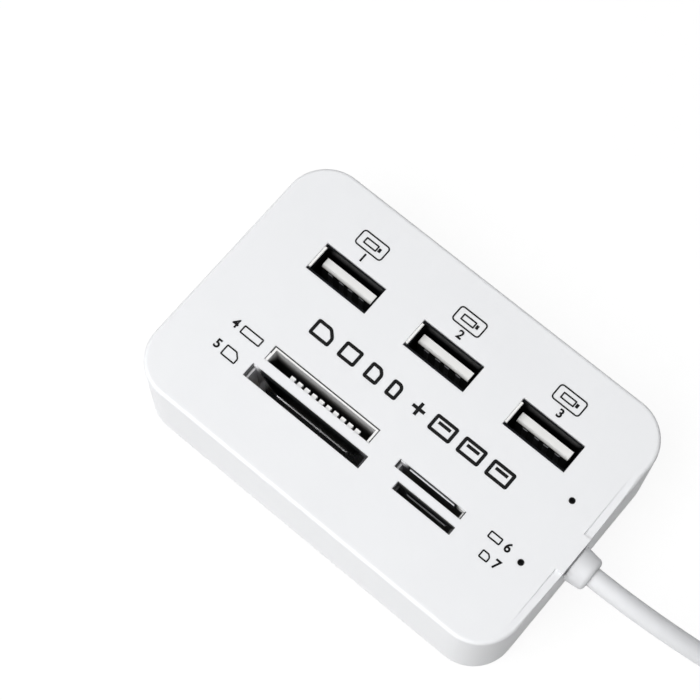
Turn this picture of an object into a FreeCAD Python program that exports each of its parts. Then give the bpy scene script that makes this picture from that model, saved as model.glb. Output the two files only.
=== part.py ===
"""USB hub with card reader: a flat white housing with three upright ports and four card slots.

Millimetres. X runs along the housing to the cable end, Y to the side with the ports, Z up.
The origin is on the surface that the feet stand on, below the middle of the housing.
"""

import math
import os

import FreeCAD
import Part

Vector = FreeCAD.Vector
X_AXIS = Vector(1, 0, 0)
Y_AXIS = Vector(0, 1, 0)
Z_AXIS = Vector(0, 0, 1)

# Housing
body_length = 80.0
body_width = 52.0
body_height = 21.4
corner_radius = 8.0
edge_radius = 0.7
side_wall = 1.8
top_wall = 1.6
floor_thickness = 1.8
cover_gap = 0.1

# Feet, screws and the posts that hold the board down, two of which the screws bite into
foot_diameter = 7.0
foot_height = 0.6
foot_inset_x = 14.0
foot_inset_y = 8.0
post_inset = 6.5
post_size = 5.0
screw_diameter = 2.0
screw_head_diameter = 3.8
screw_head_height = 1.3
screw_bite = 5.0
screw_gap = 0.1
head_recess = 0.2

# Circuit board
board_thickness = 1.6
board_margin = 2.2
standoff_height = 1.4
lead_gap = 0.15

# Upright ports
port_count = 3
port_pitch = 21.9
first_port_inset = 18.9
port_row_inset = 15.5
port_window_length = 13.3
port_window_width = 6.0
port_recess = 2.7
port_shell_length = 13.1
port_shell_width = 5.7
port_sheet = 0.3
port_shell_bevel = 0.5
port_wall_recess = 0.25
spring_width = 2.2
spring_height = 4.4
spring_offset = 3.3
insulator_gap = 0.2
port_collar_wall = 1.2
collar_gap = 0.1
tongue_length = 11.1
tongue_thickness = 1.84
tongue_gap = 0.72
tongue_recess = 0.6
tongue_chamfer = 0.4
port_base_height = 4.0
port_contact_offsets = (-3.5, -1.0, 1.0, 3.5)
contact_setback = 1.2
contact_width = 1.0
contact_thickness = 0.25
contact_tail = 0.9
shell_leg_width = 2.0

# Card slots in the top face
slot_margin = 16.75
near_row_inset = 13.07
full_slot_length = 25.7
full_slot_width = 2.75
stick_slot_length = 23.4
stick_slot_width = 3.1
stick_setback = 0.9
stick_bridge = 1.8
mini_slot_length = 14.3
mini_slot_width = 1.7
slot_column_gap = 4.4
micro_slot_length = 12.4
micro_slot_width = 1.7
micro_overhang = 0.25
micro_row_inset = 13.55
mini_bridge = 1.55

# Card sockets under the slots
socket_gap = 0.2
socket_end_wall = 1.0
socket_floor = 3.0
slot_lead_in = 0.6
shield_sheet = 0.25
lining_wall = 0.15
lining_gap = 0.05
lining_recess = 0.2
lip_length = 9.6
lip_recess = 0.6
full_notch_depth = 7.5
full_notch_end = 0.2
full_notch_flank = 4.1
micro_notch_depth = 3.0
micro_notch_end = 0.8
micro_notch_flank = 0.6
card_contact_width = 0.7
card_contact_thickness = 0.2
card_contact_rise = 8.0
contact_share = 0.6
full_contact_count = 9
mini_contact_count = 11
micro_contact_count = 8
stick_fit = 0.12
stick_recess = 0.3
stick_rim = 0.4
stick_end_rim = 0.5
rib_count = 10
rib_pitch = 1.6
rib_width = 0.95
rib_reach = 0.35
comb_offset = 1.5
comb_drop = 2.3

# Indicator lamps
lamp_hole = 1.2
lamp_inset = 6.55
lamp_far_y = 4.6
lamp_near_y = -9.2
lamp_width = 2.0
lamp_depth = 4.0
lamp_height = 4.4
lamp_lead = 0.4
lamp_lead_pitch = 2.54

# Parts on the board
chip_size = 7.0
chip_height = 1.5
chip_pin_count = 6
chip_pin_width = 0.35
chip_pin_reach = 1.0
chip_pin_thickness = 0.2
crystal_length = 10.5
crystal_width = 4.4
crystal_height = 3.5
crystal_round = 1.9
capacitor_length = 7.3
capacitor_width = 4.3
capacitor_height = 2.8
terminal_thickness = 0.2
terminal_width = 2.4
header_depth = 3.0
header_width = 5.5
header_height = 3.9

# Gland and the cable end inside
gland_drop = 4.0
gland_y = -2.45
gland_diameter = 6.9
gland_reach = 3.9
gland_bevel = 0.9
neck_size = 4.2
neck_gap = 0.1
flange_width = 7.0
flange_height = 5.6
flange_thickness = 1.5
hood_width = 7.6
relief_width = 1.5
relief_depth = 0.45
relief_near_end = -20.0
relief_far_end = 15.0
cable_diameter = 3.7
inner_cable_length = 5.5
wire_size = 0.8
wire_pitch = 0.9
wire_count = 4
wire_length = 3.5

# Cable outside: its route from the gland to the coil, the coil, and the tail to the plug
lead_reach = 12.1
lead_points = (
    (82.0, 4.6, 2.45),
    (98.0, 4.6, 2.45),
)
cable_sides = 16
arc_share = 0.45
coil_turns = 3.5
coil_radius = 19.5
turn_pitch = 3.75
tie_thickness = 0.6
tie_width = 5.0
tie_angle = 45.0
lead_parting = -112.0
tail_parting = 112.0
tail_offsets = (
    (-5.0, 0.0, -0.2),
    (-11.0, 0.0, -2.2),
    (-16.0, 0.0, -2.2),
)

# Plug at the far end of the cable
plug_width = 15.6
plug_thickness = 8.0
plug_body_length = 24.0
plug_round = 1.6
boot_length = 8.0
boot_diameter = 5.6
plug_shell_width = 12.0
plug_shell_thickness = 4.5
plug_shell_reach = 12.0
plug_shell_seat = 6.0
plug_insert_thickness = 1.9
plug_window = 2.2
plug_window_pitch = 5.1
plug_fit = 0.05

# Levels, from the standing surface up
cover_bottom = foot_height
floor_top = cover_bottom + floor_thickness
board_bottom = floor_top + standoff_height
board_top = board_bottom + board_thickness
ceiling = body_height - top_wall
port_rim = body_height - port_recess
socket_top = ceiling - socket_gap
socket_height = socket_top - board_top
card_floor = board_top + socket_floor
pin_tip = board_bottom - contact_tail
gland_height = body_height - gland_drop

# Places in plan
end_x = body_length / 2
side_y = body_width / 2
inner_x = end_x - side_wall
inner_y = side_y - side_wall
port_y = side_y - port_row_inset
port_centres = [first_port_inset - end_x + i * port_pitch for i in range(port_count)]
post_places = [
    (x * (end_x - post_inset), y * (side_y - post_inset)) for x in (-1, 1) for y in (-1, 1)
]
screw_places = [post_places[0], post_places[-1]]
foot_places = {
    "foot_near_left": (foot_inset_x - end_x, foot_inset_y - side_y),
    "foot_near_right": (end_x - foot_inset_x, foot_inset_y - side_y),
    "foot_far_left": (foot_inset_x - end_x, side_y - foot_inset_y),
    "foot_far_right": (end_x - foot_inset_x, side_y - foot_inset_y),
}
full_x = slot_margin - end_x + full_slot_length / 2
full_y = near_row_inset - side_y
stick_x = full_x - full_slot_length / 2 + stick_setback + stick_slot_length / 2
stick_y = full_y + full_slot_width / 2 + stick_bridge + stick_slot_width / 2
comb_x = stick_x + comb_offset
mini_x = full_x + full_slot_length / 2 + slot_column_gap + mini_slot_length / 2
micro_x = mini_x + mini_slot_length / 2 + micro_overhang - micro_slot_length / 2
micro_y = micro_row_inset - side_y
mini_y = micro_y + micro_slot_width / 2 + mini_bridge + mini_slot_width / 2
lamp_x = end_x - lamp_inset
lamp_places = {"power_lamp": (lamp_x, lamp_far_y), "card_lamp": (lamp_x, lamp_near_y)}
gland_tip = end_x + gland_reach
flange_inner_x = inner_x - neck_gap / 2 - flange_thickness
cable_end_x = flange_inner_x - inner_cable_length
header_x = cable_end_x - wire_length
header_top = board_top + header_height
board_length = 2 * (flange_inner_x - neck_gap)
board_width = 2 * (inner_y - board_margin / 2)


def block(x, y, z, length, width, height):
    """A box centred on x, y that stands on the level z."""
    return Part.makeBox(length, width, height, Vector(x - length / 2, y - width / 2, z))


def rod(x, y, z, diameter, height):
    """An upright cylinder on the level z."""
    return Part.makeCylinder(diameter / 2, height, Vector(x, y, z))


def upright_edges(solid):
    """The edges of a box that run along Z."""
    return [e for e in solid.Edges if abs(e.tangentAt(e.FirstParameter).z) > 0.5]


def round_block(x, y, z, length, width, height, radius):
    """A box whose upright edges are rounded."""
    solid = block(x, y, z, length, width, height)
    return solid.makeFillet(radius, upright_edges(solid))


def bevelled_block(x, y, z, length, width, height, bevel):
    """A box whose upright edges are bevelled."""
    solid = block(x, y, z, length, width, height)
    return solid.makeChamfer(bevel, upright_edges(solid))


def prism(points, direction):
    """A closed outline of straight edges, pushed along a direction."""
    corners = [Vector(*p) for p in points]
    wire = Part.makePolygon(corners + corners[:1])
    return Part.Face(wire).extrude(direction)


def fused(shapes):
    """Several solids as one."""
    whole = shapes[0].fuse(shapes[1:])
    return whole.removeSplitter()


def save(name, shape):
    """Write one piece of the object."""
    shape.exportStep(os.path.join("parts", name + ".step"))


def row(count, pitch):
    """Places of equally spaced things about a middle."""
    return [(i - (count - 1) / 2) * pitch for i in range(count)]


def top_edges(solid, level):
    """The edges of a solid that lie on a level."""
    return [
        e
        for e in solid.Edges
        if abs(e.BoundBox.ZMin - level) < 1e-6 and abs(e.BoundBox.ZMax - level) < 1e-6
    ]


def end_relief(side, end):
    """A shallow ledge beside the hood that dies out towards a corner of the cable end."""
    start = gland_y + side * hood_width / 2
    x = end_x - relief_width
    outline = (
        (x, start, body_height),
        (x, start, body_height - relief_depth),
        (x, end, body_height),
    )
    return prism(outline, Vector(relief_width * 2, 0, 0))


def make_top_cover():
    """The moulded shell: top face and sides, with its windows, collars and posts."""
    height = body_height - cover_bottom
    shell = round_block(0, 0, cover_bottom, body_length, body_width, height, corner_radius)
    shell = shell.makeFillet(edge_radius, top_edges(shell, body_height))
    hollow = round_block(
        0, 0, cover_bottom - 1, 2 * inner_x, 2 * inner_y, ceiling - cover_bottom + 1,
        corner_radius - side_wall,
    )
    hood = block(
        end_x - edge_radius / 2, gland_y, body_height - edge_radius, edge_radius, hood_width, edge_radius
    )
    cover = shell.fuse(hood).cut(hollow)

    collar_bottom = port_rim + collar_gap
    collars = [
        block(
            x, port_y, collar_bottom,
            port_window_length + 2 * port_collar_wall,
            port_window_width + 2 * port_collar_wall,
            ceiling - collar_bottom,
        )
        for x in port_centres
    ]
    posts = [
        block(x, y, board_top, post_size, post_size, ceiling - board_top) for x, y in post_places
    ]
    cover = cover.fuse(collars + posts)

    cuts = [
        block(x, port_y, collar_bottom - 1, port_window_length, port_window_width, body_height)
        for x in port_centres
    ]
    cuts += [
        block(x, y, ceiling - 1, length, width, body_height)
        for x, y, length, width in (
            (full_x, full_y, full_slot_length, full_slot_width),
            (stick_x, stick_y, stick_slot_length, stick_slot_width),
            (mini_x, mini_y, mini_slot_length, mini_slot_width),
            (micro_x, micro_y, micro_slot_length, micro_slot_width),
        )
    ]
    cuts += [rod(x, y, ceiling - 1, lamp_hole, body_height) for x, y in lamp_places.values()]
    cuts += [
        rod(x, y, board_top, screw_diameter + screw_gap, screw_bite) for x, y in screw_places
    ]
    cuts += [end_relief(-1, relief_near_end), end_relief(1, relief_far_end)]
    opening = neck_size + 2 * neck_gap
    cuts.append(block(end_x, gland_y, gland_height - opening / 2, 3 * side_wall, opening, opening))
    return cover.cut(cuts).removeSplitter()


def make_bottom_cover():
    """The floor plate inside the sides, with its standoffs."""
    plate = round_block(
        0, 0, cover_bottom, 2 * (inner_x - cover_gap), 2 * (inner_y - cover_gap), floor_thickness,
        corner_radius - side_wall - cover_gap,
    )
    standoffs = [
        block(x, y, floor_top, post_size, post_size, standoff_height) for x, y in post_places
    ]
    cover = plate.fuse(standoffs)
    cuts = []
    for x, y in screw_places:
        shank_height = board_bottom - cover_bottom
        cuts.append(rod(x, y, cover_bottom, screw_diameter + screw_gap, shank_height))
        seat_height = head_recess + screw_head_height
        cuts.append(rod(x, y, cover_bottom, screw_head_diameter + screw_gap, seat_height))
    return cover.cut(cuts).removeSplitter()


def make_screw(x, y):
    """A self-tapping screw: a flat head in the floor and a shank up into the post."""
    head_bottom = cover_bottom + head_recess
    head_top = head_bottom + screw_head_height
    head = rod(x, y, head_bottom, screw_head_diameter, screw_head_height)
    shank = rod(x, y, head_top, screw_diameter, board_top + screw_bite - screw_gap - head_top)
    return head.fuse(shank)


def make_foot(x, y):
    """A round rubber foot under the floor."""
    return rod(x, y, 0, foot_diameter, foot_height)


def make_board(pin_holes):
    """The circuit board, drilled for the screws and for every lead that passes through."""
    board = round_block(
        0, 0, board_bottom, board_length, board_width, board_thickness, board_margin
    )
    cuts = [
        rod(x, y, board_bottom, screw_diameter + screw_gap, board_thickness) for x, y in screw_places
    ]
    for x, y, length, width in pin_holes:
        cuts.append(
            block(x, y, board_bottom, length + 2 * lead_gap, width + 2 * lead_gap, board_thickness)
        )
    return board.cut(cuts)


def port_leg_places(x):
    """Where the two mounting legs of a port's shell pass through the board."""
    offset = (port_shell_length - port_sheet) / 2
    return [(x + side * offset, port_y, port_sheet, shell_leg_width) for side in (-1, 1)]


def port_contact_y():
    """Middle of the contacts, which lie sunk by half in the near face of the tongue."""
    inner_far = port_y + port_shell_width / 2 - port_sheet
    return inner_far - tongue_gap - tongue_thickness


def port_contact_places(x):
    """Where the contacts of a port run down along its tongue."""
    y = port_contact_y()
    return [(x + offset, y, contact_width, contact_thickness) for offset in port_contact_offsets]


def port_contact_slot(x):
    """The slot in the board that the four contact tails of a port pass through."""
    span = max(port_contact_offsets) - min(port_contact_offsets) + contact_width
    return x, port_contact_y(), span, contact_thickness


def make_port_shell(x):
    """The folded sheet round a port: spring windows in its broad walls, which rise higher, and two legs."""
    height = port_rim - board_top
    outer = bevelled_block(
        x, port_y, board_top, port_shell_length, port_shell_width, height, port_shell_bevel
    )
    inner_bevel = port_shell_bevel - port_sheet * (2 - math.sqrt(2))
    inner = bevelled_block(
        x, port_y, board_top, port_shell_length - 2 * port_sheet, port_shell_width - 2 * port_sheet,
        height, inner_bevel,
    )
    legs = [
        block(leg_x, leg_y, pin_tip, length, width, board_top + port_sheet - pin_tip)
        for leg_x, leg_y, length, width in port_leg_places(x)
    ]
    windows = [
        block(
            x + side * spring_offset, port_y, port_rim - 2 * spring_height,
            spring_width, 2 * port_shell_width, spring_height,
        )
        for side in (-1, 1)
    ]
    wall_height = port_recess - port_wall_recess
    walls = [
        block(x, port_y + offset, port_rim, port_shell_length, port_sheet, wall_height)
        for offset in row(2, port_shell_width - port_sheet)
    ]
    return outer.cut([inner] + windows).fuse(legs + walls).removeSplitter()


def make_port_insulator(x):
    """The moulded block in a port's foot, with the tongue that carries the contacts."""
    wall = port_sheet + insulator_gap
    base = block(
        x, port_y, board_top, port_shell_length - 2 * wall, port_shell_width - 2 * wall, port_base_height
    )
    far_face = port_y + port_shell_width / 2 - port_sheet - tongue_gap
    tip = port_rim - tongue_recess
    near_face = far_face - tongue_thickness
    outline = (
        (x - tongue_length / 2, far_face, board_top),
        (x - tongue_length / 2, near_face, board_top),
        (x - tongue_length / 2, near_face, tip - tongue_chamfer),
        (x - tongue_length / 2, near_face + tongue_chamfer, tip),
        (x - tongue_length / 2, far_face, tip),
    )
    tongue = prism(outline, Vector(tongue_length, 0, 0))
    groove_height = tip - contact_setback + cover_gap - board_top
    grooves = [
        block(px, py, board_top, length + cover_gap, width, groove_height)
        for px, py, length, width in port_contact_places(x)
    ]
    return base.fuse(tongue).cut(grooves).removeSplitter()


def make_port_contacts(x):
    """Four flat blades along the tongue, with tails through the board."""
    top = port_rim - tongue_recess - contact_setback
    return Part.makeCompound(
        [
            block(px, py, pin_tip, length, width, top - pin_tip)
            for px, py, length, width in port_contact_places(x)
        ]
    )


class CardSocket:
    """A card socket with a sheet shield on its far side, under a slot of the top face."""

    def __init__(self, x, y, length, width, near_wall, notch, contact_count):
        self.x = x
        self.length = length
        self.far = y + width / 2
        self.near = y - width / 2
        self.cavity = length - 2 * slot_lead_in
        self.outer = self.cavity + 2 * socket_end_wall
        self.near_wall = near_wall
        self.notch = notch
        self.contact_pitch = self.cavity / contact_count
        self.contact_count = contact_count

    def contact_places(self):
        """Where the contacts stand on the board."""
        y = self.near - card_contact_thickness / 2
        width = min(card_contact_width, self.contact_pitch * contact_share)
        return [
            (self.x + offset, y, width, card_contact_thickness)
            for offset in row(self.contact_count, self.contact_pitch)
        ]

    def body(self):
        """The moulded frame: near wall, ends and floor, open to the shield."""
        depth = self.far - self.near + self.near_wall
        middle = (self.far + self.near - self.near_wall) / 2
        frame = block(self.x, middle, board_top, self.outer, depth, socket_height)
        pocket = block(
            self.x, self.far, card_floor, self.cavity, 2 * (self.far - self.near), socket_height
        )
        groove_height = card_floor + card_contact_rise - board_top
        grooves = [
            block(px, py, board_top, width + cover_gap, thickness, groove_height)
            for px, py, width, thickness in self.contact_places()
        ]
        return frame.cut([pocket] + grooves).fuse(self.lining()).removeSplitter()

    def lining(self):
        """The thin upright rim that lines the ends and the far side of the slot."""
        length = self.length - 2 * lining_gap
        height = body_height - lining_recess - socket_top
        depth = self.far - self.near - 2 * lining_gap
        middle = (self.far + self.near) / 2
        rim = block(self.x, middle, socket_top, length, depth, height)
        mouth = block(
            self.x, middle - depth / 2, socket_top, length - 2 * lining_wall,
            2 * (depth - lining_wall), height,
        )
        return rim.cut(mouth)

    def wrap(self):
        """The plain sheet: a far face, folded round both ends."""
        fold = self.outer + 2 * shield_sheet
        depth = (self.far - self.near) + self.near_wall / 2
        sheet = block(
            self.x, self.far + shield_sheet - (depth + shield_sheet) / 2, board_top,
            fold, depth + shield_sheet, socket_height,
        )
        inside = block(self.x, self.far - depth, board_top, self.outer, 2 * depth, socket_height)
        return sheet.cut(inside)

    def shield(self):
        """The sheet with a cut-away mouth or, where there is no notch, with a lip."""
        if self.notch is None:
            return self.lipped_shield()
        depth, end, flank = self.notch
        upper = self.cavity / 2 - end
        lower = upper - flank
        y = self.far - shield_sheet
        mouth = (
            (self.x - upper, y, socket_top),
            (self.x + upper, y, socket_top),
            (self.x + lower, y, socket_top - depth),
            (self.x - lower, y, socket_top - depth),
        )
        return self.wrap().cut(prism(mouth, Vector(0, 3 * shield_sheet, 0)))

    def lipped_shield(self):
        """A shield without a mouth, whose far face is folded into the slot as a short lip."""
        lip_face = self.far - lining_gap - lining_wall
        fold_bottom = socket_top - shield_sheet
        fold = block(
            self.x, (lip_face + self.far) / 2, fold_bottom,
            lip_length, self.far - lip_face + 2 * shield_sheet, shield_sheet - lining_gap,
        )
        lip = block(
            self.x, lip_face - shield_sheet / 2, fold_bottom,
            lip_length, shield_sheet, body_height - lip_recess - fold_bottom,
        )
        return self.wrap().fuse([fold, lip]).removeSplitter()

    def contacts(self):
        """Flat spring blades on the near wall, standing on the board."""
        height = card_floor + card_contact_rise - board_top
        return Part.makeCompound(
            [
                block(px, py, board_top, width, thickness, height)
                for px, py, width, thickness in self.contact_places()
            ]
        )


def stick_contact_places():
    """Where the contacts of the stick socket stand on the board, between the ribs."""
    y = stick_y - stick_slot_width / 2 + stick_fit + stick_rim + card_contact_thickness / 2
    width = min(card_contact_width, (rib_pitch - rib_width) * contact_share)
    return [
        (comb_x + offset + rib_pitch / 2, y, width, card_contact_thickness)
        for offset in row(rib_count, rib_pitch)
    ]


def make_stick_socket():
    """The white socket that fills its slot, with a comb of ribs in the near side of its mouth."""
    length = stick_slot_length - 2 * stick_fit
    width = stick_slot_width - 2 * stick_fit
    top = body_height - stick_recess
    cavity_length = length - 2 * stick_end_rim
    cavity_width = width - 2 * stick_rim
    body = block(stick_x, stick_y, board_top, length, width, top - board_top)
    pocket = block(stick_x, stick_y, card_floor, cavity_length, cavity_width, top)
    near_face = stick_y - cavity_width / 2
    drop = block(stick_x, near_face, top - comb_drop, cavity_length, 4 * stick_rim, 2 * comb_drop)
    rib_height = top - stick_rim - card_floor
    rib_length = stick_rim + rib_reach
    rib_y = near_face + rib_reach - rib_length / 2
    ribs = [
        block(comb_x + offset, rib_y, card_floor, rib_width, rib_length, rib_height)
        for offset in row(rib_count, rib_pitch)
    ]
    grooves = [
        block(px, py, board_top, breadth + cover_gap, thickness + cover_gap, card_floor - board_top)
        for px, py, breadth, thickness in stick_contact_places()
    ]
    return body.cut([pocket, drop]).fuse(ribs).cut(grooves).removeSplitter()


def make_stick_contacts():
    """Spring blades between the ribs, standing on the board."""
    height = card_floor + card_contact_rise - board_top
    return Part.makeCompound(
        [
            block(px, py, board_top, width, thickness, height)
            for px, py, width, thickness in stick_contact_places()
        ]
    )


def lamp_lead_places(x, y):
    """Where the two legs of a lamp pass through the board."""
    return [(x, y + offset, lamp_lead, lamp_lead) for offset in row(2, lamp_lead_pitch)]


def make_lamp(x, y):
    """A rectangular lamp close under its hole, on two long legs."""
    base = socket_top - lamp_height
    lens = block(x, y, base, lamp_width, lamp_depth, lamp_height)
    legs = [
        block(px, py, pin_tip, length, width, base - pin_tip)
        for px, py, length, width in lamp_lead_places(x, y)
    ]
    return fused([lens] + legs)


def make_chip(x, y):
    """A flat package on two rows of straight pins."""
    body = block(x, y, board_top + chip_pin_thickness, chip_size, chip_size, chip_height)
    pin_length = chip_size + 2 * chip_pin_reach
    pins = [
        block(x + offset, y, board_top, chip_pin_width, pin_length, chip_pin_thickness)
        for offset in row(chip_pin_count, chip_size / (chip_pin_count + 1))
    ]
    return fused([body] + pins)


def make_crystal(x, y):
    """A metal can with rounded ends."""
    return round_block(x, y, board_top, crystal_length, crystal_width, crystal_height, crystal_round)


def make_capacitor(x, y):
    """A moulded block held off the board by a terminal at each end."""
    body_length = capacitor_length - 2 * terminal_thickness
    body = block(x, y, board_top + terminal_thickness, body_length, capacitor_width, capacitor_height)
    terminals = [
        block(x + offset, y, board_top, terminal_thickness, terminal_width, capacitor_height / 2)
        for offset in row(2, capacitor_length - terminal_thickness)
    ]
    return fused([body] + terminals)


def make_gland():
    """The moulded grommet: a rounded collar outside, a neck in the wall, a flange inside."""
    collar_start = end_x + neck_gap / 2
    collar = Part.makeCylinder(
        gland_diameter / 2, gland_tip - collar_start, Vector(collar_start, gland_y, gland_height), X_AXIS
    )
    rim = [e for e in collar.Edges if e.BoundBox.XMin > gland_tip - 1e-6]
    collar = collar.makeChamfer(gland_bevel, rim)
    neck_length = collar_start - flange_inner_x
    neck_top = gland_height + neck_size / 2
    neck = block(
        flange_inner_x + neck_length / 2, gland_y, neck_top - neck_size, neck_length, neck_size, neck_size
    )
    flange = block(
        flange_inner_x + flange_thickness / 2, gland_y, neck_top - flange_height,
        flange_thickness, flange_width, flange_height,
    )
    return fused([collar, neck, flange])


def make_inner_cable():
    """The end of the cable's jacket inside the housing."""
    return Part.makeCylinder(
        cable_diameter / 2, inner_cable_length, Vector(cable_end_x, gland_y, gland_height), X_AXIS
    )


def make_wires():
    """The four wires from the jacket, bent down to their header."""
    run = wire_length + wire_size / 2
    bottom = gland_height - wire_size / 2
    wires = []
    for offset in row(wire_count, wire_pitch):
        y = gland_y + offset
        across = block(cable_end_x - run / 2, y, bottom, run, wire_size, wire_size)
        down = block(header_x, y, header_top, wire_size, wire_size, bottom - header_top)
        wires.append(fused([across, down]))
    return Part.makeCompound(wires)


def make_header():
    """The plug-in block that the wires end in."""
    return block(header_x, gland_y, board_top, header_depth, header_width, header_height)


def tube(points, diameter, label):
    """A many-sided tube along straight runs that are joined by arcs as large as the runs allow."""
    places = [Vector(*p) for p in points]
    edges = []
    start = places[0]
    radii = []
    for before, here, after in zip(places, places[1:], places[2:]):
        back = before - here
        ahead = after - here
        reach = arc_share * min(back.Length, ahead.Length)
        half_turn = (math.pi - back.getAngle(ahead)) / 2
        radius = reach / math.tan(half_turn)
        radii.append(radius)
        back.normalize()
        ahead.normalize()
        entry = here + back * reach
        leave = here + ahead * reach
        middle = back + ahead
        middle.normalize()
        deepest = here + middle * (radius / math.cos(half_turn) - radius)
        edges.append(Part.LineSegment(start, entry).toShape())
        edges.append(Part.Arc(entry, deepest, leave).toShape())
        start = leave
    edges.append(Part.LineSegment(start, places[-1]).toShape())
    path = Part.Wire(edges)
    first_run = places[1] - places[0]
    circle = Part.Circle(places[0], first_run, diameter / 2).toShape()
    ring = Part.makePolygon(circle.discretize(cable_sides + 1))
    solid = path.makePipeShell([ring], True, False)
    section = Part.Face(ring).Area
    print(label, "radii", [round(r, 1) for r in radii], "length", round(path.Length, 1),
          "volume share", round(solid.Volume / (section * path.Length), 4))
    return solid


coil_start = Vector(*lead_points[-1])
turn_travel = turn_pitch * coil_turns / 2
outer_turn = coil_radius + turn_travel / 2
inner_turn = coil_radius - turn_travel / 2
coil_centre = coil_start + Y_AXIS * outer_turn
ring_margin = cable_diameter / 2
ring_outer = outer_turn + ring_margin
ring_inner = inner_turn - ring_margin
ring_bottom = tie_thickness
ring_height = cable_diameter + turn_pitch
upper_layer = ring_bottom + ring_height - ring_margin
tail_start = Vector(coil_centre.x, coil_centre.y + outer_turn, upper_layer)
plug_start = tail_start + Vector(*tail_offsets[-1])
shell_start = boot_length + plug_body_length - plug_shell_seat
insert_length = plug_shell_seat + plug_shell_reach - port_sheet
insert_floor = plug_start.z - plug_shell_thickness / 2 + port_sheet


def beside_coil(run, angle):
    """A run of cable, parted from the coil by the upright plane that touches it at an angle."""
    inside = block(0, 0, 0, 2 * ring_outer, 4 * ring_outer, body_height)
    inside.rotate(Vector(0, 0, 0), Z_AXIS, angle)
    inside.translate(Vector(coil_centre.x, coil_centre.y, 0))
    return run.cut(inside)


def make_lead():
    """The cable from the gland to the coil."""
    level_run = [(gland_tip + ahead, gland_y, gland_height) for ahead in (0, lead_reach)]
    run = tube(level_run + list(lead_points), cable_diameter, "lead")
    return beside_coil(run, lead_parting)


def make_coil():
    """The outer form of the turns: two layers, wound inwards and back outwards."""
    centre = Vector(coil_centre.x, coil_centre.y, ring_bottom)
    outer = Part.makeCylinder(ring_outer, ring_height, centre)
    return outer.cut(Part.makeCylinder(ring_inner, ring_height, centre))


def make_tie():
    """A flat band round the turns."""
    middle = (ring_inner + ring_outer) / 2
    thickness = ring_outer - ring_inner + 2 * tie_thickness
    band = block(middle, 0, 0, thickness, tie_width, ring_height + 2 * tie_thickness)
    band.rotate(Vector(0, 0, 0), Z_AXIS, tie_angle)
    band.translate(Vector(coil_centre.x, coil_centre.y, 0))
    return band.cut(make_coil())


def make_tail():
    """The cable from the coil to the plug."""
    points = [tail_start] + [tail_start + Vector(*offset) for offset in tail_offsets]
    run = tube([tuple(p) for p in points], cable_diameter, "tail")
    return beside_coil(run, tail_parting)


def plug_bar(forward, side, level, length, width, thickness):
    """A box that starts a way forward of the cable's end, beside the plug's axis, on a level."""
    return block(plug_start.x - forward - length / 2, plug_start.y + side, level, length, width, thickness)


def plug_block(forward, width, thickness, length):
    """A box on the plug's axis that starts a way forward of the cable's end."""
    return plug_bar(forward, 0, plug_start.z - thickness / 2, length, width, thickness)


def make_plug_body():
    """The moulded grip with its boot and the pocket for the shell."""
    grip = plug_block(boot_length, plug_width, plug_thickness, plug_body_length)
    long_edges = [e for e in grip.Edges if abs(e.tangentAt(e.FirstParameter).x) > 0.5]
    grip = grip.makeFillet(plug_round, long_edges)
    boot = Part.makeCylinder(boot_diameter / 2, boot_length, plug_start, -X_AXIS)
    pocket = plug_block(
        shell_start, plug_shell_width + 2 * plug_fit, plug_shell_thickness + 2 * plug_fit, plug_shell_seat
    )
    return grip.fuse(boot).cut(pocket).removeSplitter()


def make_plug_shell():
    """The sheet box of the plug, with its two pairs of catch windows."""
    length = plug_shell_seat + plug_shell_reach
    outer = plug_block(shell_start, plug_shell_width, plug_shell_thickness, length)
    inner = plug_block(
        shell_start, plug_shell_width - 2 * port_sheet, plug_shell_thickness - 2 * port_sheet, length
    )
    window_start = shell_start + plug_shell_seat + (plug_shell_reach - plug_window) / 2
    level = plug_start.z - plug_shell_thickness
    windows = [
        plug_bar(window_start, side, level, plug_window, plug_window, 2 * plug_shell_thickness)
        for side in row(2, plug_window_pitch)
    ]
    return outer.cut([inner] + windows)


def plug_contact_bars():
    """The four flat contacts that lie flush in the plug's insert."""
    level = insert_floor + plug_insert_thickness - contact_thickness
    length = insert_length - contact_width
    start = shell_start + contact_width / 2
    return [
        plug_bar(start, side, level, length, contact_width, contact_thickness)
        for side in port_contact_offsets
    ]


def make_plug_insert():
    """The moulded plate inside the plug's shell, which carries the contacts."""
    width = plug_shell_width - 2 * port_sheet - 2 * plug_fit
    plate = plug_bar(shell_start, 0, insert_floor, insert_length, width, plug_insert_thickness)
    return plate.cut(plug_contact_bars())


def card_sockets():
    """The three shielded sockets, by name."""
    near_wall = mini_bridge - shield_sheet - 2 * socket_gap
    full_notch = (full_notch_depth, full_notch_end, full_notch_flank)
    micro_notch = (micro_notch_depth, micro_notch_end, micro_notch_flank)
    full_slot = (full_x, full_y, full_slot_length, full_slot_width)
    mini_slot = (mini_x, mini_y, mini_slot_length, mini_slot_width)
    micro_slot = (micro_x, micro_y, micro_slot_length, micro_slot_width)
    return {
        "full_card": CardSocket(*full_slot, near_wall, full_notch, full_contact_count),
        "mini_stick": CardSocket(*mini_slot, near_wall, None, mini_contact_count),
        "micro_card": CardSocket(*micro_slot, near_wall, micro_notch, micro_contact_count),
    }


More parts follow.
